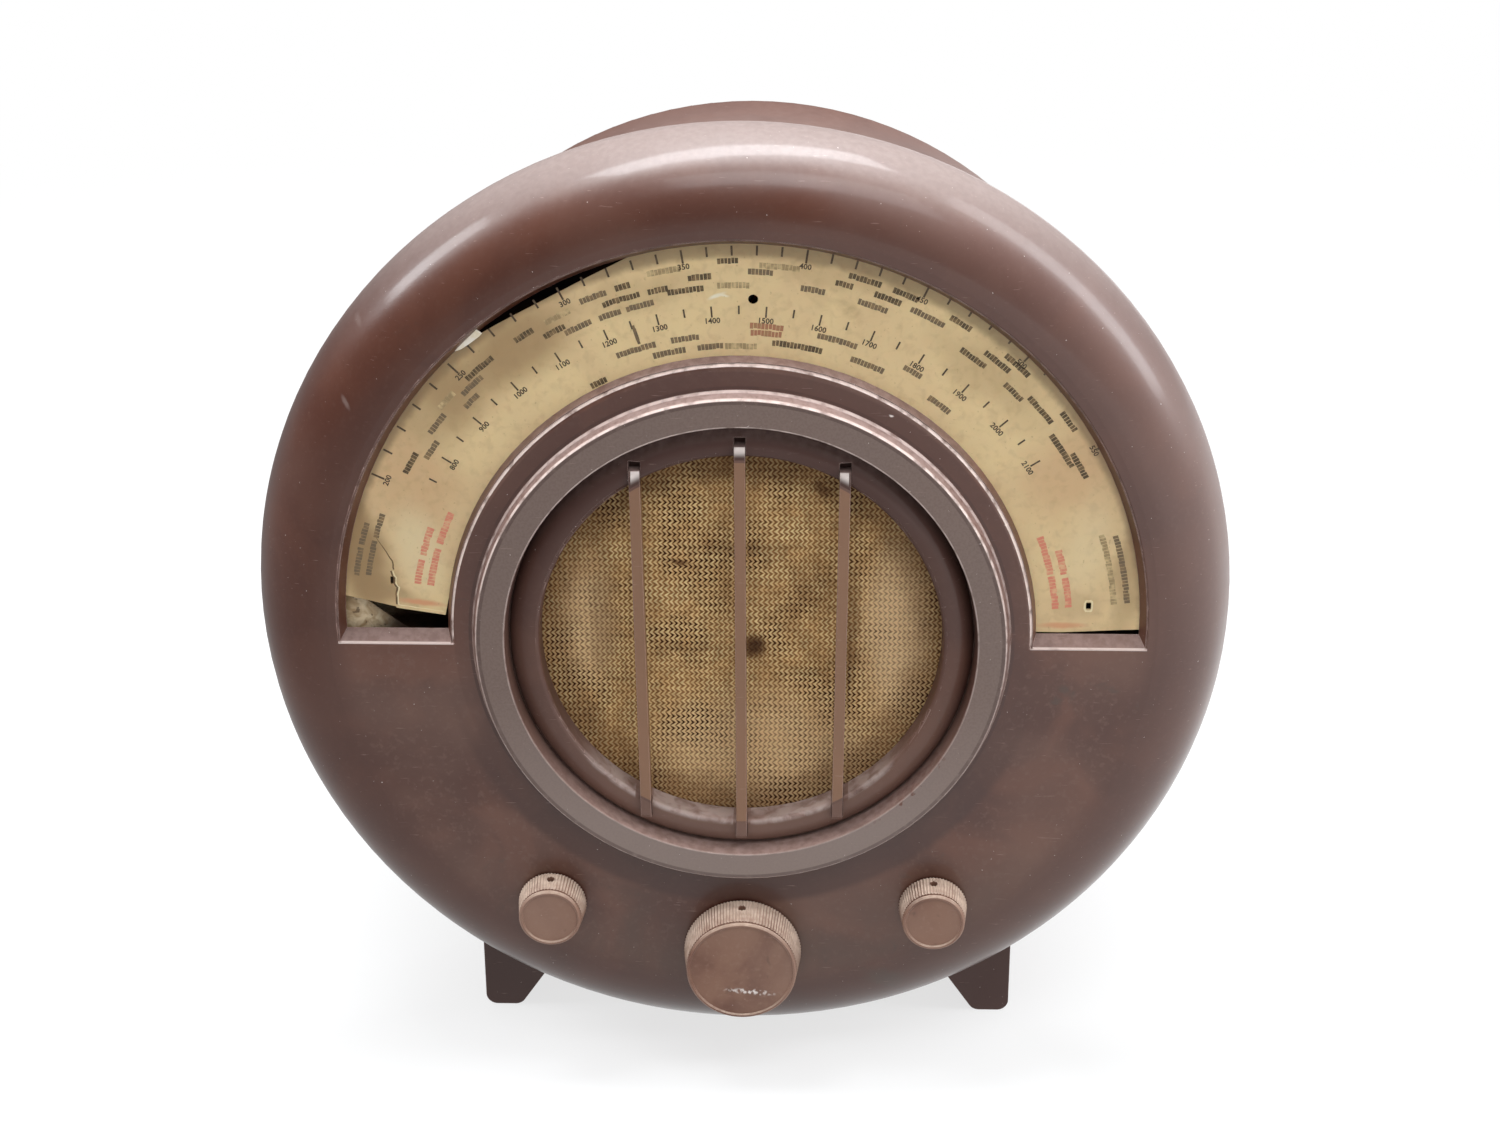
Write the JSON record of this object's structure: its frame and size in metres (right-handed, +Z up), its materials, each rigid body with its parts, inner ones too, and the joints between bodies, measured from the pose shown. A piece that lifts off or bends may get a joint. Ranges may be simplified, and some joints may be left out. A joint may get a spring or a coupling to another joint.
{
  "type": "table radio",
  "caption": "Table radio in a round moulded cabinet with a rolled rim, an arched dial over a barred speaker opening and a row of knobs, with its works inside.",
  "frame": {"origin": "on the ground, under the middle of the set", "axes": "+X to the right as seen from the front, +Y to the back, +Z up; the front faces -Y"},
  "size_m": [0.395, 0.2122, 0.4065],
  "materials": {
    "case": "compression moulded phenolic, polished",
    "knob": "compression moulded phenolic, worn",
    "scale": "printed celluloid sheet, aged",
    "cloth": "woven speaker cloth",
    "plywood": "plywood, unfinished",
    "steel": "zinc plated steel",
    "brass": "turned or stamped brass",
    "tin": "tinned sheet steel, dusty",
    "enamel": "black stoving enamel",
    "cord": "braided drive cord",
    "glass": "blown glass",
    "vanes": "sheet aluminium",
    "chassis": "cadmium plated sheet steel",
    "black_plastic": "moulded phenolic, black",
    "cone_paper": "pressed paper pulp",
    "core": "varnished steel laminations",
    "winding": "waxed paper over wire",
    "fibre": "pressed fibre board",
    "rubber": "moulded rubber"
  },
  "bodies": {
    "set": {"cabinet": "case", "grille_bars": "case", "grille_cloth": "cloth", "baffle_board": "plywood", "baffle_screws": "brass", "dial_scale": "scale", "light_box": "tin", "light_box_screws": "steel", "lamp_holders": "brass", "dial_lamps": "glass", "ring_keepers": "steel", "keeper_screws": "brass", "pointer_cord": "cord", "spindle_bush": "brass", "spindle_bracket": "steel", "gang_cord": "cord", "gang_frame": "steel", "gang_stators": "vanes", "volume_control": "steel", "wave_switch": "fibre", "control_nuts": "brass", "speaker_frame": "enamel", "speaker_screws": "steel", "speaker_magnet": "steel", "output_transformer": "core", "chassis": "chassis", "chassis_bolts": "steel", "transformer_core": "core", "transformer_winding": "winding", "smoothing_capacitors": "vanes", "coil_cans": "vanes", "valve_holders": "black_plastic", "valve_bases": "black_plastic", "valve_bulbs": "glass", "valve_screens": "vanes", "socket_strip": "fibre", "sockets": "brass", "rear_cover": "fibre", "cover_screws": "steel", "cord_grommet": "rubber"},
    "tuning": {"tuning_knob": "knob", "tuning_grub_screw": "steel", "tuning_spindle": "steel", "cord_pulley": "brass"},
    "pointer": {"pointer": "enamel", "pointer_ring": "brass"},
    "gang": {"gang_rotor": "vanes", "gang_drum": "vanes"},
    "volume": {"volume_knob": "knob", "volume_grub_screw": "steel", "volume_spindle": "steel"},
    "wave_change": {"wave_knob": "knob", "wave_grub_screw": "steel", "wave_spindle": "steel"},
    "cone": {"speaker_cone": "cone_paper"}
  },
  "joints": [
    {"name": "tuning_turn", "type": "hinge", "parent": "set", "child": "tuning", "pos_m": [0, -0.0889, 0.0597], "axis": [0, 1, 0], "range_deg": [-658.04, 1015.1]},
    {"name": "pointer_turn", "type": "hinge", "parent": "set", "child": "pointer", "pos_m": [0, -0.0889, 0.2035], "axis": [0, 1, 0], "range_deg": [-64.6, 99.6]},
    {"name": "gang_turn", "type": "hinge", "parent": "set", "child": "gang", "pos_m": [0.06, -0.0889, 0.1225], "axis": [0, 1, 0], "range_deg": [-70.9, 109.3]},
    {"name": "volume_turn", "type": "hinge", "parent": "set", "child": "volume", "pos_m": [-0.0794, -0.0889, 0.0822], "axis": [0, 1, 0], "range_deg": [0, 280]},
    {"name": "wave_change_turn", "type": "hinge", "parent": "set", "child": "wave_change", "pos_m": [0.0794, -0.0889, 0.0822], "axis": [0, 1, 0], "range_deg": [-45, 45]},
    {"name": "cone_travel", "type": "slide", "parent": "set", "child": "cone", "axis": [0, 1, 0], "range_m": [-0.001, 0.001], "stiffness_N_per_m": 2000}
  ],
  "couplings": [
    {"joint": "pointer_turn", "follows": "tuning_turn", "ratio": 0.098022},
    {"joint": "gang_turn", "follows": "tuning_turn", "ratio": 0.10759}
  ]
}
